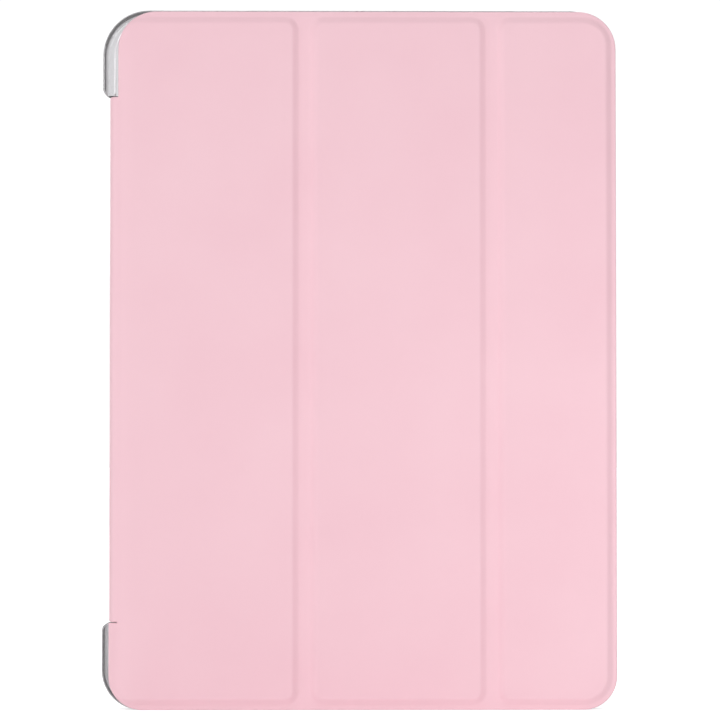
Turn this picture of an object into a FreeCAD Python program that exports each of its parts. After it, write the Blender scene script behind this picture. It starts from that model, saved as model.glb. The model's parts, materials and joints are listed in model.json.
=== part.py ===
import FreeCAD, Part
import math
import os

import Sketcher

# A tri-fold cover for a tablet, closed and standing upright on its bottom edge.
# X runs from the spine on the left to the free edge on the right, Y from the cover at the
# front to the shell at the back, and Z up. The origin is the middle of the bottom edge.
# All sizes are millimetres.

DRIVING_DIMENSIONS = {
    "case_width": 184.7,
    "case_height": 251.4,
    "case_depth": 11.0,
    # Back shell
    "shell_depth": 8.5,
    "shell_corner_top": 16.5,
    "shell_corner_foot": 14.0,
    "cavity_corner": 14.5,
    "wall": 1.7,
    "back_wall": 1.4,
    "back_edge": 2.0,
    "lip_depth": 0.8,
    "lip_left": 4.6,
    "lip_reach": 1.0,
    "guard_length": 31.0,
    "guard_round": 2.6,
    "rim_round": 0.7,
    "overhang": 0.3,
    "spine_inset": 2.6,
    "spine_gap": 0.25,
    # Openings in the shell
    "camera_x": 68.0,
    "camera_drop": 20.0,
    "camera_width": 26.0,
    "camera_height": 13.0,
    "camera_round": 6.0,
    "port_width": 14.0,
    "port_depth": 5.0,
    "port_lift": 0.9,
    "speaker_offset": 56.0,
    "speaker_width": 30.0,
    "speaker_depth": 3.0,
    "power_x": 66.0,
    "power_width": 20.0,
    "volume_drop": 44.0,
    "volume_width": 34.0,
    "button_depth": 4.6,
    "mic_radius": 1.2,
    # Cover layers
    "skin": 0.5,
    "board": 1.4,
    "lining": 0.4,
    "spine_core": 0.3,
    "glue": 0.1,
    # Cover outline
    "cover_inset": 0.5,
    "cover_corner_top": 13.6,
    "cover_corner_foot": 11.9,
    "notch_left": 5.6,
    "tab_gap": 0.5,
    "tab_round": 1.0,
    "rim_top": 4.7,
    "rim_bottom": 4.4,
    "rim_right": 4.2,
    "rim_left": 0.5,
    "lining_inset": 0.8,
    "board_corner": 2.2,
    "outer_board_corner": 7.8,
    "front_bend": 3.0,
    "back_bend": 2.0,
    # Creases between the panels
    "crease_1_x": -20.35,
    "crease_2_x": 46.95,
    "crease_width": 5.3,
    "board_gap_before": 1.6,
    "board_gap_after": 2.6,
    "joint_gap": 0.15,
    # Flap glued to the back
    "flap_width": 27.0,
    "flap_corner": 3.0,
    "flap_gap": 0.3,
    "spine_end_gap": 0.5,
    # Magnets and keepers
    "magnet_length": 14.0,
    "magnet_width": 5.0,
    "magnet_depth": 1.0,
    "magnet_edge": 10.0,
    "magnet_spacing": 75.0,
    "keeper_depth": 0.5,
    "keeper_edge": 6.0,
    "wake_radius": 3.0,
    "wake_x": 74.0,
    "wake_height": 34.0,
}

doc = FreeCAD.newDocument("tablet_case")
sheet = doc.addObject("Spreadsheet::Sheet", "dims")
for row, (alias, number) in enumerate(DRIVING_DIMENSIONS.items(), start=1):
    sheet.set(f"A{row}", alias)
    sheet.set(f"B{row}", str(number))
    sheet.setAlias(f"B{row}", alias)
doc.recompute()

# Places that several sub-parts share, as expressions of the sheet's cells.
CASE_BACK = "dims.case_depth / 2"
CASE_FRONT = "-dims.case_depth / 2"
CASE_TOP = "dims.case_height"
SHELL_LEFT = "-dims.case_width / 2"
SHELL_RIGHT = "dims.case_width / 2 - dims.overhang"
SHELL_RIM = "dims.case_depth / 2 - dims.shell_depth"
CAVITY_FLOOR = "dims.case_depth / 2 - dims.back_wall"
LIP_BACK = "dims.case_depth / 2 - dims.shell_depth + dims.lip_depth"
WALL_INNER_RIGHT = "dims.case_width / 2 - dims.overhang - dims.wall"
GUARD_LOW = "dims.guard_length"
GUARD_HIGH = "dims.case_height - dims.guard_length"
SPINE_OUTER = "-dims.case_width / 2 + dims.spine_inset"
SPINE_CORE_OUTER = SPINE_OUTER + " + dims.skin"
SPINE_LINING_OUTER = SPINE_CORE_OUTER + " + dims.spine_core"
SPINE_INNER = SPINE_LINING_OUTER + " + dims.lining"
SPINE_LOW = "dims.guard_length + dims.spine_end_gap"
SPINE_HIGH = "dims.case_height - dims.guard_length - dims.spine_end_gap"
SHELL_EDGE_AT_SPINE = SPINE_INNER + " + dims.spine_gap"
FLAP_RIGHT = SHELL_EDGE_AT_SPINE + " + dims.flap_width"
FLAP_FLOOR = "dims.case_depth / 2 - dims.skin - dims.glue"

COVER_TOP = "dims.case_height - dims.cover_inset"
COVER_RIGHT = "dims.case_width / 2"
BOARD_FRONT = "-dims.case_depth / 2 + dims.skin"
BOARD_BACK = BOARD_FRONT + " + dims.board"
LINING_BACK = BOARD_BACK + " + dims.lining"
PANEL_1_LEFT = "-dims.case_width / 2 + dims.notch_left"
TAB_TOP = GUARD_LOW + " - dims.tab_gap"


def fold_line(crease, side):
    """The line where a panel meets crease 1 or 2: side -1 is its left edge and 1 its right."""
    return f"dims.crease_{crease}_x + {side} * dims.crease_width / 2"


def number(expression):
    return float(sheet.evalExpression(expression))


def vector(x, y, z=0.0):
    return FreeCAD.Vector(x, y, z)


def new_body(label):
    body = doc.addObject("PartDesign::Body", label)
    body.Label = label
    return body


def origin_plane(body, role):
    return next(f for f in body.Origin.OriginFeatures if f.Role == role)


def new_sketch(body, name, role, offset):
    """An empty sketch parallel to an origin plane, moved along the plane's normal."""
    sketch = body.newObject("Sketcher::SketchObject", name)
    sketch.AttachmentSupport = (origin_plane(body, role), "")
    sketch.MapMode = "FlatFace"
    sketch.setExpression(".AttachmentOffset.Base.z", offset)
    return sketch


def corner_arc(corner, before, after, radius):
    """The quarter circle that rounds a right-angled corner, its two ends, and whether it turns left."""
    into = vector(*(corner - before)[:2]).normalize()
    out = vector(*(after - corner)[:2]).normalize()
    start = corner - into * radius
    end = corner + out * radius
    centre = start + out * radius
    turns_left = into.cross(out).z > 0
    first, last = (start, end) if turns_left else (end, start)
    circle = Part.Circle(centre, vector(0, 0, 1), radius)
    angles = [math.atan2(p.y - centre.y, p.x - centre.x) for p in (first, last)]
    return Part.ArcOfCircle(circle, *angles), start, end, turns_left


def draw_outline(sketch, edges, radii):
    """A closed outline of edges that are upright and level in turn, starting with an upright one.

    Each edge is the expression of its own coordinate. radii holds the expression of the
    rounding after each edge, or None for a sharp corner.
    """
    places = [number(e) for e in edges]
    count = len(edges)
    corners = []
    for i in range(count):
        here, after = places[i], places[(i + 1) % count]
        corners.append(vector(here, after) if i % 2 == 0 else vector(after, here))
    starts = [None] * count
    ends = [None] * count
    arcs = [None] * count
    for i, radius in enumerate(radii):
        following = (i + 1) % count
        if radius is None:
            ends[i] = starts[following] = corners[i]
            continue
        arcs[i] = corner_arc(corners[i], corners[i - 1], corners[following], number(radius))
        ends[i], starts[following] = arcs[i][1], arcs[i][2]
    lines = [sketch.addGeometry(Part.LineSegment(starts[i], ends[i])) for i in range(count)]
    for i, line in enumerate(lines):
        upright = i % 2 == 0
        sketch.addConstraint(Sketcher.Constraint("Vertical" if upright else "Horizontal", line))
        kind = "DistanceX" if upright else "DistanceY"
        place = sketch.addConstraint(Sketcher.Constraint(kind, -1, 1, line, 1, places[i]))
        sketch.setExpression(f"Constraints[{place}]", edges[i])
    for i, arc in enumerate(arcs):
        line, following = lines[i], lines[(i + 1) % count]
        if arc is None:
            sketch.addConstraint(Sketcher.Constraint("Coincident", line, 2, following, 1))
            continue
        curve, _, _, turns_left = arc
        round_edge = sketch.addGeometry(curve)
        first, last = (1, 2) if turns_left else (2, 1)
        sketch.addConstraint(Sketcher.Constraint("Tangent", line, 2, round_edge, first))
        sketch.addConstraint(Sketcher.Constraint("Tangent", round_edge, last, following, 1))
        size = sketch.addConstraint(Sketcher.Constraint("Radius", round_edge, curve.Radius))
        sketch.setExpression(f"Constraints[{size}]", radii[i])


def front_outline(body, name, y, edges, radii):
    """An outline seen from the front, in the upright plane at depth y."""
    sketch = new_sketch(body, name, "XZ_Plane", f"-({y})")
    draw_outline(sketch, edges, radii)
    return sketch


def pad_forward(body, name, sketch, length):
    """Adds a solid from the sketch towards the front of the case."""
    pad = body.newObject("PartDesign::Pad", name)
    pad.Profile = sketch
    pad.setExpression("Length", length)
    doc.recompute()
    return pad


def pocket_backward(body, name, sketch, length):
    """Cuts from the sketch towards the back of the case."""
    volume = body.Shape.Volume
    pocket = body.newObject("PartDesign::Pocket", name)
    pocket.Profile = sketch
    pocket.setExpression("Length", length)
    doc.recompute()
    if body.Shape.Volume >= volume:
        raise ValueError(f"{name} of {body.Label} cuts nothing")
    return pocket


def plate(body, name, back, depth, edges, radii):
    return pad_forward(body, name, front_outline(body, name + "_outline", back, edges, radii), depth)


def recess(body, name, front, depth, edges, radii):
    sketch = front_outline(body, name + "_outline", front, edges, radii)
    return pocket_backward(body, name, sketch, depth)


def box_between(box, low, high):
    """Binds a box's corner and sides to the expressions of its low and high corners."""
    for axis, side, start, stop in zip("xyz", ("Length", "Width", "Height"), low, high):
        box.setExpression(f".Placement.Base.{axis}", start)
        box.setExpression(side, f"({stop}) - ({start})")


def box_cut(body, name, low, high):
    volume = body.Shape.Volume
    cut = body.newObject("PartDesign::SubtractiveBox", name)
    box_between(cut, low, high)
    doc.recompute()
    if body.Shape.Volume >= volume:
        raise ValueError(f"{name} of {body.Label} cuts nothing")
    return cut


def round_edges(body, name, chosen, radius):
    """Rounds the edges of the body's tip that chosen says yes to."""
    tip = body.Tip
    edges = [f"Edge{i}" for i, edge in enumerate(tip.Shape.Edges, start=1) if chosen(edge)]
    fillet = body.newObject("PartDesign::Fillet", name)
    fillet.Base = (tip, edges)
    fillet.setExpression("Radius", radius)
    doc.recompute()
    return fillet


def lies_at_depth(depth):
    """A test for edges that lie wholly in the upright plane at one depth."""
    place = number(depth)
    return lambda edge: abs(edge.BoundBox.YMin - place) < 0.001 > abs(edge.BoundBox.YMax - place)


# ---------------------------------------------------------------- back shell


def back_shell():
    """The clear tray: a back, four walls, and a lip that wraps the tablet's front at each corner."""
    body = new_body("back_shell")
    outer = [SHELL_LEFT, "0", SHELL_RIGHT, CASE_TOP]
    foot, top = "dims.shell_corner_foot", "dims.shell_corner_top"
    plate(body, "tray", CASE_BACK, "dims.shell_depth", outer, [foot, foot, top, top])
    cut_spine_notch(body)
    round_edges(body, "back_edge", lies_at_depth(CASE_BACK), "dims.back_edge")
    cut_cavity(body)
    cut_lips(body)
    round_edges(body, "rim_edge", lies_at_depth(SHELL_RIM), "dims.rim_round")
    cut_flap_seat(body)
    cut_camera(body)
    cut_wall_openings(body)
    return body


def cut_cavity(body):
    inner = [
        SHELL_LEFT + " + dims.wall",
        "dims.wall",
        WALL_INNER_RIGHT,
        "dims.case_height - dims.wall",
    ]
    depth = "dims.shell_depth - dims.lip_depth - dims.back_wall"
    recess(body, "cavity", LIP_BACK, depth, inner, ["dims.cavity_corner"] * 4)
    mouth = [
        SHELL_LEFT + " + dims.lip_left",
        "dims.wall + dims.lip_reach",
        WALL_INNER_RIGHT + " - dims.lip_reach",
        "dims.case_height - dims.wall - dims.lip_reach",
    ]
    recess(body, "mouth", SHELL_RIM, "dims.lip_depth", mouth, ["dims.cavity_corner - dims.lip_reach"] * 4)


def cut_lips(body):
    """The lip is left only round the corners: it is cut away along the middle of each side."""
    left = SHELL_LEFT + " + dims.guard_length"
    right = SHELL_RIGHT + " - dims.guard_length"
    top = ["dims.case_height - dims.wall - dims.lip_reach", "dims.case_height - dims.wall"]
    bottom = ["dims.wall", "dims.wall + dims.lip_reach"]
    side = [WALL_INNER_RIGHT + " - dims.lip_reach", WALL_INNER_RIGHT]
    box_cut(body, "top_lip_gap", [left, SHELL_RIM, top[0]], [right, LIP_BACK, top[1]])
    box_cut(body, "bottom_lip_gap", [left, SHELL_RIM, bottom[0]], [right, LIP_BACK, bottom[1]])
    box_cut(body, "right_lip_gap", [side[0], SHELL_RIM, GUARD_LOW], [side[1], LIP_BACK, GUARD_HIGH])
    left = [SHELL_EDGE_AT_SPINE, SHELL_LEFT + " + dims.lip_left"]
    box_cut(body, "left_lip_gap", [left[0], SHELL_RIM, GUARD_LOW], [left[1], LIP_BACK, GUARD_HIGH])


def cut_spine_notch(body):
    """Between the corner guards the left wall is missing, so that the spine can wrap round the edge."""
    edges = [SHELL_LEFT + " - dims.wall", GUARD_LOW, SHELL_EDGE_AT_SPINE, GUARD_HIGH]
    recess(body, "spine_notch", SHELL_RIM, "dims.shell_depth", edges, [None] * 4)
    left = number(SHELL_LEFT)
    ends = (number(GUARD_LOW), number(GUARD_HIGH))

    def is_guard_end(edge):
        box = edge.BoundBox
        on_end = any(abs(box.ZMin - z) < 0.001 > abs(box.ZMax - z) for z in ends)
        return on_end and abs(box.XMin - left) < 0.001 > abs(box.XMax - left)

    round_edges(body, "guard_ends", is_guard_end, "dims.guard_round")


def cut_flap_seat(body):
    edges = [
        SHELL_LEFT,
        SPINE_LOW + " - dims.flap_gap",
        FLAP_RIGHT,
        SPINE_HIGH + " + dims.flap_gap",
    ]
    corners = [None, "dims.flap_corner", "dims.flap_corner", None]
    recess(body, "flap_seat", FLAP_FLOOR, "dims.skin + dims.glue", edges, corners)


def cut_camera(body):
    centre = "dims.case_height - dims.camera_drop"
    edges = [
        "dims.camera_x - dims.camera_width / 2",
        centre + " - dims.camera_height / 2",
        "dims.camera_x + dims.camera_width / 2",
        centre + " + dims.camera_height / 2",
    ]
    recess(body, "camera_window", CAVITY_FLOOR, "dims.back_wall", edges, ["dims.camera_round"] * 4)


def cut_wall_openings(body):
    """Openings for the charging port, speakers, buttons and microphone of the tablet."""
    floor = CAVITY_FLOOR + " - dims.port_lift"
    port_front = floor + " - dims.port_depth"
    half_port = "dims.port_width / 2"
    box_cut(body, "port", ["-" + half_port, port_front, "-1"], [half_port, floor, "dims.wall"])

    speaker_front = floor + " - dims.speaker_depth"
    walls = {"bottom": ("-1", "dims.wall"), "top": ("dims.case_height - dims.wall", CASE_TOP + " + 1")}
    for wall, (low, high) in walls.items():
        for side, sign in (("left", "-1"), ("right", "1")):
            if (wall, side) == ("top", "right"):
                continue
            middle = f"{sign} * dims.speaker_offset"
            start = middle + " - dims.speaker_width / 2"
            stop = middle + " + dims.speaker_width / 2"
            box_cut(body, f"{wall}_{side}_speaker", [start, speaker_front, low], [stop, floor, high])

    button_front = floor + " - dims.button_depth"
    power = ["dims.power_x - dims.power_width / 2", "dims.power_x + dims.power_width / 2"]
    low, high = walls["top"]
    box_cut(body, "power_button", [power[0], button_front, low], [power[1], floor, high])

    volume_high = "dims.case_height - dims.volume_drop"
    volume_low = volume_high + " - dims.volume_width"
    outside = SHELL_RIGHT + " + 1"
    inside = WALL_INNER_RIGHT
    box_cut(body, "volume_keys", [inside, button_front, volume_low], [outside, floor, volume_high])

    hole = body.newObject("PartDesign::SubtractiveCylinder", "microphone")
    hole.setExpression("Radius", "dims.mic_radius")
    hole.setExpression("Height", "dims.wall + 2")
    hole.setExpression(".Placement.Base.y", floor + " - dims.mic_radius")
    hole.setExpression(".Placement.Base.z", "dims.case_height - dims.wall - 1")
    doc.recompute()


# ---------------------------------------------------------------- flap and spine


def flap_pieces():
    """The end of the cover that is glued into a seat in the shell's back."""
    left = SPINE_OUTER + " + dims.back_bend"
    edges = [left, SPINE_LOW, FLAP_RIGHT + " - dims.flap_gap", SPINE_HIGH]
    corners = [None, "dims.flap_corner", "dims.flap_corner", None]
    skin = new_body("flap_skin")
    plate(skin, "skin", CASE_BACK, "dims.skin", edges, corners)
    glued = SHELL_EDGE_AT_SPINE + " + dims.flap_gap"
    adhesive = new_body("flap_adhesive")
    inner = [glued, SPINE_LOW, FLAP_RIGHT + " - dims.flap_gap", SPINE_HIGH]
    plate(adhesive, "film", "dims.case_depth / 2 - dims.skin", "dims.glue", inner, corners)
    return [skin, adhesive]


def spine_piece(label, outer, inner):
    """One layer of the spine, the strip that spans the case's depth between its two bends."""
    body = new_body(label)
    front = CASE_FRONT + " + dims.front_bend"
    back = CASE_BACK + " - dims.back_bend"
    plate(body, "strip", back, f"({back}) - ({front})", [outer, SPINE_LOW, inner, SPINE_HIGH], [None] * 4)
    return body


def spine_pieces():
    return [
        spine_piece("spine_skin", SPINE_OUTER, SPINE_CORE_OUTER),
        spine_piece("spine_core", SPINE_CORE_OUTER, SPINE_LINING_OUTER),
        spine_piece("spine_lining", SPINE_LINING_OUTER, SPINE_INNER),
    ]


# ---------------------------------------------------------------- cover panels


class Panel:
    """The outline of one stiff panel: its two sides, and which of them is an outer edge."""

    def __init__(self, name, left, right, board_left, board_right):
        self.name = name
        self.left = left
        self.right = right
        self.board_left = board_left
        self.board_right = board_right
        self.rounded_left = name == "panel_1"
        self.rounded_right = name == "panel_3"

    def corners(self, foot, top, sharp=None):
        """Radii after the left, bottom, right and top edges."""
        left, right = self.rounded_left, self.rounded_right
        return [
            foot if left else sharp,
            foot if right else sharp,
            top if right else sharp,
            top if left else sharp,
        ]


BOARD_LOW = "dims.rim_bottom"
BOARD_HIGH = COVER_TOP + " - dims.rim_top"

PANELS = [
    Panel(
        "panel_1",
        PANEL_1_LEFT,
        fold_line(1, -1) + " - dims.joint_gap",
        PANEL_1_LEFT + " + dims.rim_left",
        fold_line(1, -1) + " - dims.board_gap_before",
    ),
    Panel(
        "panel_2",
        fold_line(1, 1) + " + dims.joint_gap",
        fold_line(2, -1) + " - dims.joint_gap",
        fold_line(1, 1) + " + dims.board_gap_after",
        fold_line(2, -1) + " - dims.board_gap_before",
    ),
    Panel(
        "panel_3",
        fold_line(2, 1) + " + dims.joint_gap",
        COVER_RIGHT,
        fold_line(2, 1) + " + dims.board_gap_after",
        COVER_RIGHT + " - dims.rim_right",
    ),
]


def panel_edge(panel, inset="0"):
    """The panel's own outline, moved in from its outer edges, and the rounding of its corners."""
    corners = panel.corners(f"dims.cover_corner_foot - {inset}", f"dims.cover_corner_top - {inset}")
    left = panel.left + (f" + {inset}" if panel.rounded_left else "")
    right = panel.right + (f" - {inset}" if panel.rounded_right else "")
    return [left, inset, right, f"{COVER_TOP} - {inset}"], corners


def leather_edge(panel):
    """The leather of the first panel has a tab at its foot, which reaches left over the lower guard."""
    edges, corners = panel_edge(panel)
    if not panel.rounded_left:
        return edges, corners
    return [SPINE_OUTER, *edges[1:], panel.left, TAB_TOP], [*corners, None, "dims.tab_round"]


def panel_skin(panel):
    """Thin leather that drops to a flat rim round the board and stands proud over it."""
    body = new_body(panel.name + "_skin")
    plate(body, "rim", BOARD_BACK, "dims.skin", *leather_edge(panel))
    raised = [
        panel.board_left + " - dims.skin",
        BOARD_LOW + " - dims.skin",
        panel.board_right + " + dims.skin",
        BOARD_HIGH + " + dims.skin",
    ]
    outer = "dims.outer_board_corner + dims.skin"
    round_raised = panel.corners(outer, outer, "dims.board_corner + dims.skin")
    plate(body, "raised", BOARD_BACK, "dims.board + dims.skin", raised, round_raised)
    board = [panel.board_left, BOARD_LOW, panel.board_right, BOARD_HIGH]
    round_board = panel.corners("dims.outer_board_corner", "dims.outer_board_corner", "dims.board_corner")
    recess(body, "board_pocket", BOARD_FRONT, "dims.board", board, round_board)
    return body


def panel_board(panel):
    body = new_body(panel.name + "_board")
    edges = [panel.board_left, BOARD_LOW, panel.board_right, BOARD_HIGH]
    corners = panel.corners("dims.outer_board_corner", "dims.outer_board_corner", "dims.board_corner")
    plate(body, "stiffener", BOARD_BACK, "dims.board", edges, corners)
    return body


def panel_lining(panel):
    body = new_body(panel.name + "_lining")
    plate(body, "cloth", LINING_BACK, "dims.lining", *panel_edge(panel, "dims.lining_inset"))
    return body


def crease_pieces(crease):
    """Leather and lining glued to each other, with no board between them."""
    left = fold_line(crease, -1) + " + dims.joint_gap"
    right = fold_line(crease, 1) + " - dims.joint_gap"
    skin = new_body(f"crease_{crease}_skin")
    plate(skin, "strip", BOARD_BACK, "dims.skin", [left, "0", right, COVER_TOP], [None] * 4)
    lining = new_body(f"crease_{crease}_lining")
    low, high = "dims.lining_inset", COVER_TOP + " - dims.lining_inset"
    plate(lining, "strip", LINING_BACK, "dims.lining", [left, low, right, high], [None] * 4)
    return [skin, lining]


# ---------------------------------------------------------------- magnets


MIDDLE_HEIGHT = "dims.case_height / 2"


def strip_places(label, left, depth, board):
    """Three equal strips, one above another, each in its own pocket in the lining side of a board."""
    strips = []
    for place in (-1, 0, 1):
        middle = f"{MIDDLE_HEIGHT} + {place} * dims.magnet_spacing"
        low = [left, f"{BOARD_BACK} - {depth}", middle + " - dims.magnet_length / 2"]
        high = [left + " + dims.magnet_width", BOARD_BACK, middle + " + dims.magnet_length / 2"]
        box_cut(board, f"{label}_pocket_{place + 2}", low, high)
        strip = doc.addObject("Part::Box", f"{label}_{place + 2}")
        box_between(strip, low, high)
        strips.append(strip)
    group = doc.addObject("Part::Compound", label)
    group.Label = label
    group.Links = strips
    doc.recompute()
    return group


def wake_magnet(board):
    """A disc that tells the tablet that its cover is closed."""
    base = f"{BOARD_BACK} - dims.magnet_depth"
    pocket = board.newObject("PartDesign::SubtractiveCylinder", "wake_pocket")
    disc = doc.addObject("Part::Cylinder", "wake_magnet")
    disc.Label = "wake_magnet"
    lying = FreeCAD.Rotation(vector(1, 0, 0), -90)
    for cylinder in (pocket, disc):
        cylinder.Placement = FreeCAD.Placement(vector(0, 0), lying)
        cylinder.setExpression("Radius", "dims.wake_radius")
        cylinder.setExpression("Height", "dims.magnet_depth")
        cylinder.setExpression(".Placement.Base.x", "dims.wake_x")
        cylinder.setExpression(".Placement.Base.y", base)
        cylinder.setExpression(".Placement.Base.z", "dims.wake_height")
    doc.recompute()
    return disc


# ---------------------------------------------------------------- the whole case


def build():
    pieces = [back_shell(), *flap_pieces(), *spine_pieces()]
    boards = {}
    for panel in PANELS:
        boards[panel.name] = panel_board(panel)
        pieces += [panel_skin(panel), boards[panel.name], panel_lining(panel)]
    for crease in (1, 2):
        pieces += crease_pieces(crease)
    free_edge = f"{PANELS[2].board_right} - dims.magnet_edge"
    pieces.append(strip_places("closure_magnets", free_edge, "dims.magnet_depth", boards["panel_3"]))
    hinge_edge = f"{PANELS[0].board_left} + dims.keeper_edge"
    pieces.append(strip_places("stand_keepers", hinge_edge, "dims.keeper_depth", boards["panel_1"]))
    pieces.append(wake_magnet(boards["panel_3"]))
    return pieces


def check(pieces):
    for item in doc.Objects:
        if "Invalid" in item.State or "Error" in item.State:
            raise ValueError(f"{item.Label} failed: {item.State}")
    for piece in pieces:
        if piece.Shape.isNull() or not piece.Shape.isValid():
            raise ValueError(f"{piece.Label} has no valid shape")


def write(pieces):
    os.makedirs("parts", exist_ok=True)
    for piece in pieces:
        piece.Shape.exportStep(f"parts/{piece.Label}.step")
        print(piece.Label, round(piece.Shape.Volume), len(piece.Shape.Solids))


sub_parts = build()
doc.recompute()
check(sub_parts)
write(sub_parts)
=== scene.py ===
import json
import math

import bpy
import numpy as np
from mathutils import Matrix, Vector


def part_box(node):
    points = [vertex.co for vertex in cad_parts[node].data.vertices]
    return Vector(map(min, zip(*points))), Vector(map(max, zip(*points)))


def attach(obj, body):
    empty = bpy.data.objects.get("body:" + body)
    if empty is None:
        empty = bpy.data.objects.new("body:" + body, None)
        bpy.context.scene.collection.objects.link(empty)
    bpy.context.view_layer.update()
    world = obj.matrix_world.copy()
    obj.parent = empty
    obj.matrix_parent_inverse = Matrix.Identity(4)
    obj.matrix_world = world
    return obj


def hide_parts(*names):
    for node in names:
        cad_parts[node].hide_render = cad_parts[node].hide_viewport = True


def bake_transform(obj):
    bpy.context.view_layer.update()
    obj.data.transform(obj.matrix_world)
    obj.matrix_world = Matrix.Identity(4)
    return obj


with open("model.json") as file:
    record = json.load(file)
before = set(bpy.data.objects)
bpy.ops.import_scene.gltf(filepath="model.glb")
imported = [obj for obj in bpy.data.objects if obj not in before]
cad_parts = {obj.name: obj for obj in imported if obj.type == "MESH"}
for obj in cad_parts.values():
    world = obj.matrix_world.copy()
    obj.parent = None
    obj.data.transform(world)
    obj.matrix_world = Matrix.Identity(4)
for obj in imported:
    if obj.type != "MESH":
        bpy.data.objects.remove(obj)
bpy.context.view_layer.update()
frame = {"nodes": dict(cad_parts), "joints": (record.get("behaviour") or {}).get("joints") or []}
MM = 0.001

# ---------------------------------------------------------------- places read from the frame

JOINT_AT = {joint["name"]: joint["pos_m"] for joint in frame["joints"]}
FOLDS = [
    JOINT_AT["crease_1_left_fold"][0],
    JOINT_AT["crease_1_right_fold"][0],
    JOINT_AT["crease_2_left_fold"][0],
    JOINT_AT["crease_2_right_fold"][0],
]
BOARDS = [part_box(f"panel_{i}_board") for i in (1, 2, 3)]
COVER_LOW, COVER_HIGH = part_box("panel_3_skin")
SPINE_LOW, SPINE_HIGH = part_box("spine_skin")
SPINE_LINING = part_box("spine_lining")
FLAP_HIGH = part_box("flap_skin")[1]
PANEL_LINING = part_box("panel_2_lining")

FRONT = COVER_LOW.y
BACK = FLAP_HIGH.y
COVER_TOP = COVER_HIGH.z
COVER_RIGHT = COVER_HIGH.x
SPINE_X = SPINE_LOW.x
SKIN = BOARDS[0][0].y - FRONT
COVER_DEPTH = PANEL_LINING[1].y - FRONT
LINING = PANEL_LINING[1].y - PANEL_LINING[0].y
SPINE_DEPTH = SPINE_LINING[1].x - SPINE_X
RIM_DROP = COVER_DEPTH - LINING - SKIN
NOTCH_LEFT = BOARDS[0][0].x - SKIN
FRONT_BEND = SPINE_LOW.y - FRONT
BACK_BEND = BACK - SPINE_HIGH.y
TONGUE_LOW, TONGUE_HIGH = SPINE_LOW.z, SPINE_HIGH.z
TAB_TOP = TONGUE_LOW - 0.3 * MM

# The cover's flat pattern is measured along s. On the panels s is x, and left of them it
# follows the leather round the front bend, along the spine, round the back bend and along the flap.
BEND_START = SPINE_X + FRONT_BEND
SPINE_START = BEND_START - FRONT_BEND * math.pi / 2
SPINE_END = SPINE_START - (SPINE_HIGH.y - SPINE_LOW.y)
FLAP_START = SPINE_END - BACK_BEND * math.pi / 2
FLAP_END = FLAP_START - (FLAP_HIGH.x - (SPINE_X + BACK_BEND))
SPINE_MIDDLE = (SPINE_START + SPINE_END) / 2

# Shape of the leather that the solids leave plain.
FOOT_CORNER = 11.9 * MM
TOP_CORNER = 13.6 * MM
TAB_CORNER = 0.4 * MM
FLAP_CORNER = 3.0 * MM
BOARD_CORNER = 2.2 * MM
OUTER_BOARD_CORNER = 7.8 * MM
SLOPE_START = 0.1 * MM
SLOPE_WIDTH = 2.9 * MM
VALLEY_WIDTH = 4.7 * MM
VALLEY_SHARE = 0.25
EDGE_ROUND = 0.45 * MM
SPINE_EASE = 0.36 * MM
SPINE_EASE_WIDTH = 5.0 * MM
TURNED_EDGE = 0.9 * MM
TURN_WIDTH = 0.2 * MM
RIPPLE_HEIGHT = 0.03 * MM
RIPPLE_FADE = 3.0 * MM
LINING_INSET = 0.85 * MM
LINING_PROUD = 0.03 * MM


# ---------------------------------------------------------------- flat shapes


def inside_distance(s, z, left, right, low, high, radii):
    """How far each point lies inside a rounded rectangle. Its radii start at the low left corner
    and go anticlockwise."""
    cx, cz = (left + right) / 2, (low + high) / 2
    low_r = np.where(s < cx, radii[0], radii[1])
    high_r = np.where(s < cx, radii[3], radii[2])
    r = np.where(z < cz, low_r, high_r)
    dx = np.abs(s - cx) - (right - left) / 2 + r
    dz = np.abs(z - cz) - (high - low) / 2 + r
    outside = np.hypot(np.maximum(dx, 0), np.maximum(dz, 0)) + np.minimum(np.maximum(dx, dz), 0)
    return r - outside


def pattern_inside(s, z):
    """How far a point of the flat pattern lies inside the cover's outline."""
    tab_corners = [FOOT_CORNER, 0, 0, TAB_CORNER]
    tab = inside_distance(s, z, SPINE_X, COVER_RIGHT - FOOT_CORNER, 0, TAB_TOP, tab_corners)
    return np.maximum(tab, lining_pattern_inside(s, z))


def lining_pattern_inside(s, z):
    """The same without the lower left tab, which the lining stops short of."""
    corners = [FOOT_CORNER, FOOT_CORNER, TOP_CORNER, TOP_CORNER]
    main = inside_distance(s, z, NOTCH_LEFT, COVER_RIGHT, 0, COVER_TOP, corners)
    flap = [FLAP_CORNER, 0, 0, FLAP_CORNER]
    tongue = inside_distance(s, z, FLAP_END, BOARDS[0][1].x, TONGUE_LOW, TONGUE_HIGH, flap)
    return np.maximum(main, tongue)


def boards_outside(s, z):
    """How far a point lies outside the raised areas: the boards, the spine and the lower left tab."""
    inner, outer = BOARD_CORNER, OUTER_BOARD_CORNER
    low, high = BOARDS[0][0].z, BOARDS[0][1].z
    first, second, third = [(b[0].x, b[1].x) for b in BOARDS]
    upper = inside_distance(s, z, *first, low, high, [outer, inner, inner, outer])
    tab = inside_distance(s, z, SPINE_X + SKIN, first[1], low, TAB_TOP, [outer, inner, 0, 0])
    middle = inside_distance(s, z, *second, low, high, [inner] * 4)
    free = inside_distance(s, z, *third, low, high, [inner, outer, outer, inner])
    spare = 1.5 * MM
    past_end = FLAP_END - FLAP_CORNER
    under_board = first[1] - FLAP_CORNER
    tongue = inside_distance(
        s, z, past_end, under_board, TONGUE_LOW - spare, TONGUE_HIGH + spare, [spare] * 4
    )
    return -np.maximum.reduce([upper, tab, middle, free, tongue])


def smooth(t):
    t = np.clip(t, 0, 1)
    return t * t * (3 - 2 * t)


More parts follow.
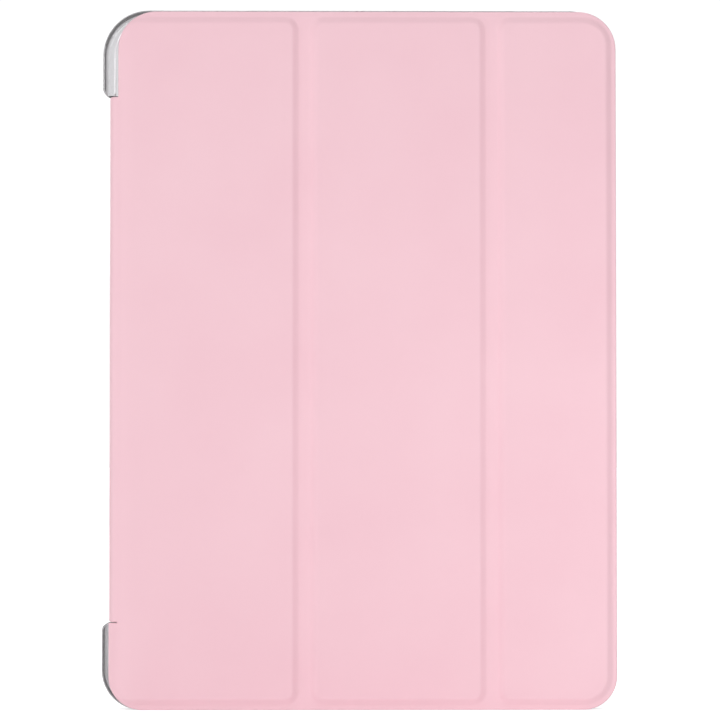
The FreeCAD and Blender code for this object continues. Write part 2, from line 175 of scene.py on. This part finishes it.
def layer_depth(s, panel, spine):
    """A depth that differs between panels and spine, eased from one to the other round the front bend."""
    return spine + (panel - spine) * smooth((s - SPINE_START) / (NOTCH_LEFT - SPINE_START))


def ripple(s, z):
    """Slow unevenness of the glued leather: two sets of waves that cross, in metres."""
    wave = np.sin(s * 71 + z * 23 + 1.3) * np.sin(z * 47 - s * 19)
    return RIPPLE_HEIGHT * (wave + 0.6 * np.sin(s * 160 - z * 90 + 0.5))


# ---------------------------------------------------------------- the folded sheet


def fold_up(s, z, depth):
    """Points of the flat pattern, at a depth under the leather's face, in their places on the case."""
    spare = 0.1 * MM
    flat = (z < TONGUE_LOW - spare) | (z > TONGUE_HIGH + spare) | (s >= BEND_START)
    front = (BEND_START - s) / FRONT_BEND
    back = (SPINE_END - s) / BACK_BEND
    conditions = [flat, s >= SPINE_START, s >= SPINE_END, s >= FLAP_START]
    x = np.select(
        conditions,
        [
            s,
            BEND_START - (FRONT_BEND - depth) * np.sin(front),
            SPINE_X + depth,
            SPINE_X + BACK_BEND - (BACK_BEND - depth) * np.cos(back),
        ],
        SPINE_X + BACK_BEND + FLAP_START - s,
    )
    y = np.select(
        conditions,
        [
            FRONT + depth,
            FRONT + FRONT_BEND - (FRONT_BEND - depth) * np.cos(front),
            FRONT + FRONT_BEND + SPINE_START - s,
            BACK - BACK_BEND + (BACK_BEND - depth) * np.sin(back),
        ],
        BACK - depth,
    )
    return np.stack([x, y, z], axis=-1)


def graded(stops, near):
    """Places that include every stop and crowd together near the places in near."""
    finest, growth, coarsest = 0.11 * MM, 0.16, 4 * MM
    near = np.array(near)
    stops = np.unique(np.round(stops, 7))
    places = [stops[0]]
    for start, stop in zip(stops, stops[1:]):
        steps = []
        at = start
        while at < stop:
            step = min(coarsest, finest + growth * np.abs(near - at).min())
            steps.append(step)
            at += step
        run = np.cumsum(steps) * (stop - start) / sum(steps)
        places.extend(start + run)
    return np.array(places)


def corner_reach(s, left, right, radius):
    """How far a rounded corner lowers the end of each column at s."""
    into = np.maximum(0, np.maximum(left + radius - s, s - (right - radius)))
    return radius - np.sqrt(np.maximum(radius**2 - into**2, 0))


class Layer:
    """The outline of one layer of the sheet, moved in from the cover's edges, and its grid."""

    def __init__(self, inset, start, has_tab):
        self.inset = inset
        self.start = start
        self.has_tab = has_tab
        self.notch = NOTCH_LEFT + inset
        self.foot_left = SPINE_X if has_tab else self.notch
        self.right = COVER_RIGHT - inset
        self.high = COVER_TOP - inset
        self.tongue = (TONGUE_LOW + inset, TONGUE_HIGH - inset)
        self.flap_corner = max(FLAP_CORNER - inset, 0) if has_tab else 0
        self.points = self.grid()

    def inside(self, s, z):
        outline = pattern_inside if self.has_tab else lining_pattern_inside
        return np.maximum(outline(s, z) - self.inset, 0)

    def pattern_lines(self):
        slopes = [b[0].x - SLOPE_WIDTH / 2 for b in BOARDS] + [b[1].x + SLOPE_WIDTH / 2 for b in BOARDS]
        bends = [FLAP_START, SPINE_END, SPINE_MIDDLE, SPINE_START, BEND_START]
        stops = [self.start, self.notch, self.foot_left, self.right, *SEAMS]
        stops += [bend for bend in bends if bend > self.start]
        crowd = [self.start, self.foot_left, self.notch, self.right, self.right - TOP_CORNER / 2]
        return graded(stops, crowd + slopes)

    def height_lines(self):
        low, high = BOARDS[0][0].z, BOARDS[0][1].z
        stops = [self.inset, *self.tongue, self.high]
        if self.has_tab:
            stops.append(TAB_TOP)
        slopes = [low - SLOPE_WIDTH / 2, high + SLOPE_WIDTH / 2]
        corners = [FOOT_CORNER / 2, self.high - TOP_CORNER / 2]
        return graded(stops, slopes + corners + stops)

    def bend_rows(self, s, z):
        """Moves the rows of the grid so that its ends follow the rounded corners."""
        band = 27 * MM
        high = corner_reach(s, self.notch, self.right, TOP_CORNER - self.inset)
        low = corner_reach(s, self.foot_left, self.right, FOOT_CORNER - self.inset)
        top_share = np.clip((z - (self.high - band)) / band, 0, 1)
        low_share = np.clip((self.inset + band - z) / band, 0, 1)
        flap = corner_reach(s, self.start, COVER_RIGHT + FOOT_CORNER, self.flap_corner)
        middle = (TONGUE_LOW + TONGUE_HIGH) / 2
        flap_share = (z - middle) / (self.tongue[1] - middle)
        on_panels = s >= self.foot_left - 1e-9
        return z + np.where(on_panels, low * low_share - high * top_share, -flap * flap_share)

    def grid(self):
        """The grid's points on the flat pattern, and which of its cells the layer fills."""
        s_lines, z_lines = self.pattern_lines(), self.height_lines()
        s, z = np.meshgrid(s_lines, z_lines, indexing="ij")
        middle_s = (s_lines[1:] + s_lines[:-1])[:, None] / 2
        middle_z = (z_lines[1:] + z_lines[:-1])[None, :] / 2
        main = middle_s > self.notch
        tab = (middle_s > self.foot_left) & (middle_z < TAB_TOP)
        tongue = (middle_z > self.tongue[0]) & (middle_z < self.tongue[1])
        return s, self.bend_rows(s, z), main | tab | tongue


SEAMS = [
    (BOARDS[0][0].x + BOARDS[0][1].x) / 2,
    (FOLDS[0] + FOLDS[1]) / 2,
    (BOARDS[1][0].x + BOARDS[1][1].x) / 2,
    (FOLDS[2] + FOLDS[3]) / 2,
]


def new_mesh(name, points, faces, rest=None):
    mesh = bpy.data.meshes.new(name)
    mesh.from_pydata(points, [], faces)
    mesh.validate()
    obj = bpy.data.objects.new(name, mesh)
    bpy.context.scene.collection.objects.link(obj)
    for polygon in mesh.polygons:
        polygon.use_smooth = True
    if rest is not None:
        attribute = mesh.attributes.new("rest_place", "FLOAT_VECTOR", "POINT")
        attribute.data.foreach_set("vector", np.array(rest, np.float32).ravel())
    return obj


def slab(name, layer, left, right, top, bottom):
    """A closed piece of one layer between two places of the pattern and between two depths."""
    s, z, cells = layer.points
    middle = (s[1:, :1] + s[:-1, :1]) / 2
    cells = cells & (middle > left) & (middle < right)
    rows, columns = s.shape
    used = np.zeros((rows, columns), bool)
    for di in (0, 1):
        for dj in (0, 1):
            used[di : rows - 1 + di, dj : columns - 1 + dj] |= cells
    upper = -np.ones((rows, columns), int)
    upper[used] = np.arange(used.sum())
    lower = upper.copy()
    apart = used & (bottom - top > 0.001 * MM)
    lower[apart] = used.sum() + np.arange(apart.sum())
    points = np.concatenate([fold_up(s, z, top)[used], fold_up(s, z, bottom)[apart]])
    flat = np.stack([s, np.zeros_like(s), z], axis=-1)
    rest = np.concatenate([flat[used], flat[apart] + [0, COVER_DEPTH, 0]])
    cut = layer.inside(s, z) > 0.01 * MM
    faces, sharp = [], []

    def add(corners):
        loop = [int(c) for k, c in enumerate(corners) if c != corners[k - 1]]
        if len(loop) > 2:
            faces.append(loop)

    padded = np.pad(cells, 1)
    for i, j in zip(*np.nonzero(cells)):
        ring = [(i, j), (i + 1, j), (i + 1, j + 1), (i, j + 1)]
        add([upper[p] for p in ring])
        add([lower[p] for p in reversed(ring)])
        for (di, dj), a, b in zip([(0, -1), (1, 0), (0, 1), (-1, 0)], ring, ring[1:] + ring[:1]):
            if padded[i + 1 + di, j + 1 + dj] or not (apart[a] or apart[b]):
                continue
            add([upper[b], upper[a], lower[a], lower[b]])
            if cut[a] or cut[b]:
                sharp.append((upper[a], upper[b]))
                sharp.append((lower[a], lower[b]))
    obj = new_mesh(name, points.tolist(), faces, rest)
    mark_sharp(obj, sharp)
    return obj


def mark_sharp(obj, pairs):
    wanted = {(int(min(pair)), int(max(pair))) for pair in pairs}
    flags = [tuple(sorted(edge.vertices)) in wanted for edge in obj.data.edges]
    attribute = obj.data.attributes.new("sharp_edge", "BOOLEAN", "EDGE")
    attribute.data.foreach_set("value", flags)


def round_off(inside, face, under):
    """Rounds the two faces of a layer towards each other at its outline."""
    radius = np.minimum(EDGE_ROUND, (under - face) / 2)
    into = radius - np.clip(inside, 0, radius)
    curve = radius - np.sqrt(radius**2 - into**2)
    return face + curve, under - curve


def leather_depths(layer):
    """Depths of the leather's two faces, with its edge turned round the lining."""
    s, z, _ = layer.points
    inside = layer.inside(s, z)
    outside_boards = boards_outside(s, z)
    slope = smooth((outside_boards - SLOPE_START) / SLOPE_WIDTH)
    valley = smooth(outside_boards / VALLEY_WIDTH)
    drop = RIM_DROP * ((1 - VALLEY_SHARE) * slope + VALLEY_SHARE * valley)
    eased = smooth((BEND_START + SPINE_EASE_WIDTH - s) / SPINE_EASE_WIDTH)
    eased *= 1 - smooth((BEND_START - s) / (BEND_START - SPINE_START))
    face = drop + np.maximum(SPINE_EASE * eased - drop, 0)
    under = np.minimum(drop + SKIN, COVER_DEPTH - LINING)
    whole = np.where(s < SPINE_END, SKIN, layer_depth(s, COVER_DEPTH, SPINE_DEPTH))
    turned = smooth((inside - TURNED_EDGE) / TURN_WIDTH)
    under = whole + (under - whole) * turned
    face = face + ripple(s, z) * smooth(inside / RIPPLE_FADE)
    return round_off(inside, face, under)


def lining_depths(layer):
    """Depths of the lining's two faces."""
    s, z, _ = layer.points
    outer = layer_depth(s, COVER_DEPTH, SPINE_DEPTH) + LINING_PROUD
    return round_off(layer.inside(s, z), outer - LINING - LINING_PROUD, outer)


# Each part of the sheet lies between two seams, with one fold between them. Its
# name is followed by its two seams and the two bodies that it joins.
PARTS = [
    ("flap", FLAP_END, SPINE_MIDDLE, "shell", "spine"),
    ("spine", SPINE_MIDDLE, SEAMS[0], "spine", "panel_1"),
    ("crease_1_left", SEAMS[0], SEAMS[1], "panel_1", "crease_1"),
    ("crease_1_right", SEAMS[1], SEAMS[2], "crease_1", "panel_2"),
    ("crease_2_left", SEAMS[2], SEAMS[3], "panel_2", "crease_2"),
    ("crease_2_right", SEAMS[3], COVER_RIGHT, "crease_2", "panel_3"),
]
LEATHER_NODES = {
    "flap": ["flap_skin"],
    "spine": ["spine_skin"],
    "crease_1_left": ["panel_1_skin", "crease_1_skin"],
    "crease_1_right": ["panel_2_skin"],
    "crease_2_left": ["crease_2_skin"],
    "crease_2_right": ["panel_3_skin"],
}
LINING_NODES = {
    "flap": [],
    "spine": ["spine_lining"],
    "crease_1_left": ["panel_1_lining", "crease_1_lining"],
    "crease_1_right": ["panel_2_lining"],
    "crease_2_left": ["crease_2_lining"],
    "crease_2_right": ["panel_3_lining"],
}
NARROWEST_SHEET = 10 * MM
FILM_CLEARANCE = 0.03 * MM


# ---------------------------------------------------------------- materials


class Nodes:
    """A new material and short ways to add and join its nodes."""

    def __init__(self, name):
        self.material = bpy.data.materials.new(name)
        self.material.use_nodes = True
        self.tree = self.material.node_tree
        self.shader = self.tree.nodes["Principled BSDF"]

    def add(self, kind, **settings):
        node = self.tree.nodes.new("ShaderNode" + kind)
        for name, value in settings.items():
            if hasattr(node, name):
                setattr(node, name, value)
            else:
                node.inputs[name.replace("_", " ")].default_value = value
        return node

    def link(self, source, target):
        self.tree.links.new(source, target)

    def set(self, **values):
        for name, value in values.items():
            self.shader.inputs[name.replace("_", " ")].default_value = value

    def rest_place(self):
        """The place on the case at rest, so that a pattern keeps still on leather that bends."""
        return self.add("Attribute", attribute_name="rest_place").outputs["Vector"]

    def noise(self, place, scale, detail=3.0, roughness=0.5):
        node = self.add("TexNoise", Scale=scale, Detail=detail, Roughness=roughness)
        self.link(place, node.inputs["Vector"])
        return node.outputs["Fac"]

    def ramp(self, factor, stops):
        node = self.add("ValToRGB")
        elements = node.color_ramp.elements
        while len(elements) < len(stops):
            elements.new(0.5)
        for element, (position, colour) in zip(elements, stops):
            element.position = position
            element.color = (*colour, 1)
        self.link(factor, node.inputs["Fac"])
        return node.outputs["Color"]

    def bump(self, height, strength, distance, under=None):
        node = self.add("Bump", Strength=strength, Distance=distance)
        self.link(height, node.inputs["Height"])
        if under is not None:
            self.link(under, node.inputs["Normal"])
        return node.outputs["Normal"]


def grey(level):
    return (level, level, level)


def leather_material():
    """Pale pink leatherette: a fine pebbled grain, a soft sheen and faint clouding."""
    m = Nodes("pink_leatherette")
    place = m.rest_place()
    clouds = m.noise(place, 22.0, 2.0)
    colour = m.ramp(clouds, [(0.30, (0.918, 0.590, 0.660)), (0.70, (0.936, 0.618, 0.684))])
    m.link(colour, m.shader.inputs["Base Color"])
    grain = m.add("TexVoronoi", feature="SMOOTH_F1", Scale=2600.0, Smoothness=0.6)
    m.link(place, grain.inputs["Vector"])
    fine = m.noise(place, 5200.0, 2.0)
    slow = m.noise(place, 160.0, 2.0)
    normal = m.bump(slow, 0.10, 0.0006)
    normal = m.bump(grain.outputs["Distance"], 0.22, 0.00006, normal)
    normal = m.bump(fine, 0.12, 0.00003, normal)
    m.link(normal, m.shader.inputs["Normal"])
    rough = m.ramp(m.noise(place, 420.0), [(0.3, grey(0.50)), (0.7, grey(0.60))])
    m.link(rough, m.shader.inputs["Roughness"])
    m.set(Sheen_Weight=0.12, Sheen_Roughness=0.5, Specular_IOR_Level=0.38)
    return m.material


def lining_material():
    """Brushed microfibre: short nap in soft patches, slightly greyer than the leather."""
    m = Nodes("pink_microfibre")
    place = m.rest_place()
    nap = m.noise(place, 900.0, 4.0, 0.65)
    patches = m.noise(place, 60.0, 2.0)
    colour = m.ramp(nap, [(0.25, (0.700, 0.440, 0.490)), (0.75, (0.860, 0.600, 0.650))])
    m.link(colour, m.shader.inputs["Base Color"])
    normal = m.bump(patches, 0.15, 0.0003)
    normal = m.bump(nap, 0.5, 0.00012, normal)
    m.link(normal, m.shader.inputs["Normal"])
    m.set(Roughness=0.95, Sheen_Weight=0.6, Sheen_Roughness=0.45, Specular_IOR_Level=0.15)
    return m.material


def shell_material():
    """Clear polycarbonate with a faintly frosted moulding texture."""
    m = Nodes("clear_polycarbonate")
    place = m.add("TexCoord").outputs["Object"]
    flow = m.noise(place, 55.0, 2.0)
    colour = m.ramp(flow, [(0.3, (0.955, 0.960, 0.970)), (0.7, (0.975, 0.980, 0.990))])
    m.link(colour, m.shader.inputs["Base Color"])
    frost = m.noise(place, 3800.0, 2.0)
    normal = m.bump(flow, 0.08, 0.0006)
    normal = m.bump(frost, 0.10, 0.00003, normal)
    m.link(normal, m.shader.inputs["Normal"])
    rough = m.ramp(m.noise(place, 260.0), [(0.3, grey(0.14)), (0.7, grey(0.22))])
    m.link(rough, m.shader.inputs["Roughness"])
    m.set(Transmission_Weight=0.9, IOR=1.58)
    haze = m.add("VolumeAbsorption", Density=190.0)
    haze.inputs["Color"].default_value = (0.50, 0.47, 0.49, 1)
    m.link(haze.outputs["Volume"], m.tree.nodes["Material Output"].inputs["Volume"])
    return m.material


def plain_material(name, low, high, scale, roughness, metallic=0.0):
    """A hidden or small piece: two tones of a fine noise, with a light bump."""
    m = Nodes(name)
    place = m.add("TexCoord").outputs["Object"]
    mottle = m.noise(place, scale, 3.0)
    m.link(m.ramp(mottle, [(0.3, low), (0.7, high)]), m.shader.inputs["Base Color"])
    m.link(m.bump(mottle, 0.2, 0.0001), m.shader.inputs["Normal"])
    rough = m.ramp(mottle, [(0.2, grey(roughness - 0.08)), (0.8, grey(roughness))])
    m.link(rough, m.shader.inputs["Roughness"])
    m.set(Metallic=metallic)
    return m.material


def dress_cad_nodes():
    board = plain_material("grey_fibreboard", (0.30, 0.28, 0.25), (0.42, 0.40, 0.36), 700.0, 0.85)
    magnet = plain_material("nickel_plate", (0.55, 0.55, 0.57), (0.66, 0.66, 0.68), 500.0, 0.35, 1.0)
    steel = plain_material("bare_steel", (0.48, 0.48, 0.50), (0.58, 0.58, 0.60), 900.0, 0.45, 1.0)
    finishes = {
        "back_shell": shell_material(),
        "spine_core": board,
        "closure_magnets": magnet,
        "wake_magnet": magnet,
        "stand_keepers": steel,
        **{f"panel_{i}_board": board for i in (1, 2, 3)},
    }
    for node, material in finishes.items():
        mesh = frame["nodes"][node].data
        mesh.materials.clear()
        mesh.materials.append(material)


# ---------------------------------------------------------------- the cover


def cover_pieces():
    """The leather, which runs from the free edge to the end of the flap, and its lining."""
    leather = Layer(0, FLAP_END, True)
    lining = Layer(LINING_INSET, SPINE_END, False)
    finish, cloth = leather_material(), lining_material()
    make_layer("leather_", leather, leather_depths(leather), finish, LEATHER_NODES)
    make_layer("lining_", lining, lining_depths(lining), cloth, LINING_NODES)
    flap_film(leather)


def make_layer(prefix, layer, depths, material, nodes):
    """The six parts of one layer; each takes the place of the CAD nodes under it, which it hides."""
    for name, left, right, a, b in PARTS:
        piece = slab(prefix + name, layer, left, right, *depths)
        piece.data.materials.append(material)
        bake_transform(piece)
        if nodes[name]:
            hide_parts(*nodes[name])
        width = min(right, layer.right) - max(left, layer.start)
        if width < NARROWEST_SHEET:
            continue


def flap_film(leather):
    """The film that bonds the flap to the shell, a hair clear of the shell's clear face."""
    s, _, _ = leather.points
    film_low, film_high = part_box("flap_adhesive")
    thickness = film_high.y - film_low.y - FILM_CLEARANCE
    top = np.full(s.shape, SKIN)
    film = slab("flap_film", leather, FLAP_END, FLAP_START, top, top + thickness)
    pale, deep = (0.86, 0.66, 0.70), (0.90, 0.72, 0.75)
    film.data.materials.append(plain_material("adhesive_film", pale, deep, 300.0, 0.5))
    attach(film, "shell")
    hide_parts("flap_adhesive")


# ---------------------------------------------------------------- studio


def floor():
    """A pale floor that glows, mostly to the camera, so that it stays as white as the backdrop."""
    half = 8
    corners = [(-half, -half, 0), (half, -half, 0), (half, half, 0), (-half, half, 0)]
    obj = new_mesh("floor", corners, [(0, 1, 2, 3)])
    m = Nodes("pale_floor")
    place = m.add("TexCoord").outputs["Object"]
    paint = m.ramp(m.noise(place, 8.0), [(0.3, grey(0.86)), (0.7, grey(0.88))])
    m.link(paint, m.shader.inputs["Base Color"])
    m.set(Roughness=0.9, Specular_IOR_Level=0.1, Emission_Color=(1, 1, 1, 1))
    glow = m.add("MapRange")
    glow.inputs["To Min"].default_value = FLOOR_LIGHT
    glow.inputs["To Max"].default_value = FLOOR_GLOW
    m.link(m.add("LightPath").outputs["Is Camera Ray"], glow.inputs["Value"])
    m.link(glow.outputs["Result"], m.shader.inputs["Emission Strength"])
    obj.data.materials.append(m.material)


def surroundings():
    """White to the camera. As a light it is white too, with a dark flag on the left and on the right."""
    world = bpy.data.worlds.new("studio")
    bpy.context.scene.world = world
    world.use_nodes = True
    nodes, links = world.node_tree.nodes, world.node_tree.links
    direction = nodes.new("ShaderNodeTexCoord").outputs["Generated"]
    split = nodes.new("ShaderNodeSeparateXYZ")
    links.new(direction, split.inputs["Vector"])
    sideways = nodes.new("ShaderNodeMath")
    sideways.operation = "ABSOLUTE"
    links.new(split.outputs["X"], sideways.inputs[0])
    flags = nodes.new("ShaderNodeMapRange")
    flags.interpolation_type = "SMOOTHSTEP"
    links.new(sideways.outputs["Value"], flags.inputs["Value"])
    limits = {"From Min": FLAG_START, "From Max": FLAG_FULL, "To Min": 1.0, "To Max": FLAG}
    for name, value in limits.items():
        flags.inputs[name].default_value = value
    path = nodes.new("ShaderNodeLightPath")
    share = nodes.new("ShaderNodeMapRange")
    share.inputs["To Min"].default_value = 1.0
    share.inputs["To Max"].default_value = SKY
    links.new(path.outputs["Is Diffuse Ray"], share.inputs["Value"])
    strength = nodes.new("ShaderNodeMath")
    strength.operation = "MULTIPLY"
    links.new(flags.outputs["Result"], strength.inputs[0])
    links.new(share.outputs["Result"], strength.inputs[1])
    light = nodes["Background"]
    links.new(strength.outputs["Value"], light.inputs["Strength"])
    light.inputs["Color"].default_value = (1, 1, 1, 1)
    backdrop = nodes.new("ShaderNodeBackground")
    backdrop.inputs["Color"].default_value = (1, 1, 1, 1)
    backdrop.inputs["Strength"].default_value = BACKDROP
    mix = nodes.new("ShaderNodeMixShader")
    links.new(path.outputs["Is Camera Ray"], mix.inputs["Fac"])
    links.new(light.outputs["Background"], mix.inputs[1])
    links.new(backdrop.outputs["Background"], mix.inputs[2])
    links.new(mix.outputs["Shader"], nodes["World Output"].inputs["Surface"])


def softbox(name, place, size, power):
    """A square lamp that faces the middle of the case."""
    lamp = bpy.data.lights.new(name, "AREA")
    lamp.shape = "SQUARE"
    lamp.size = size
    lamp.energy = power
    obj = bpy.data.objects.new(name, lamp)
    obj.location = MIDDLE + place
    obj.rotation_mode = "QUATERNION"
    obj.rotation_quaternion = (-place).to_track_quat("-Z", "Y")
    obj.visible_camera = False
    bpy.context.scene.collection.objects.link(obj)


def camera():
    """Looks straight at the cover, from slightly below its middle and slightly to the left."""
    azimuth, elevation = math.radians(-0.6), math.radians(-1.6)
    distance = 1.0
    view_width = 259.6 * MM
    target = Vector((0.2 * MM, 0, 125.4 * MM))
    level = math.cos(elevation)
    back = Vector((math.sin(azimuth) * level, -math.cos(azimuth) * level, math.sin(elevation)))
    lens = bpy.data.cameras.new("camera")
    lens.sensor_width = 36
    lens.lens = lens.sensor_width * distance / view_width
    obj = bpy.data.objects.new("camera", lens)
    obj.location = target + back * distance
    obj.rotation_mode = "QUATERNION"
    obj.rotation_quaternion = (-back).to_track_quat("-Z", "Y")
    bpy.context.scene.collection.objects.link(obj)
    bpy.context.scene.camera = obj
    bpy.context.scene.view_settings.view_transform = "Standard"


MIDDLE = Vector((0, 0, COVER_TOP / 2))
BACKDROP = 1.05
SKY = 0.80
FLAG = 0.03
FLAG_START, FLAG_FULL = 0.58, 0.88
FLOOR_GLOW = 0.58
FLOOR_LIGHT = 0.10

camera()
cover_pieces()
dress_cad_nodes()
floor()
surroundings()
softbox("key", Vector((-1.25, -1.15, -0.05)), 1.1, 12.2)
softbox("fill", Vector((0.20, -0.28, -0.08)), 0.06, 0.15)
softbox("rear", Vector((-0.9, 1.5, 0.6)), 1.1, 6.0)
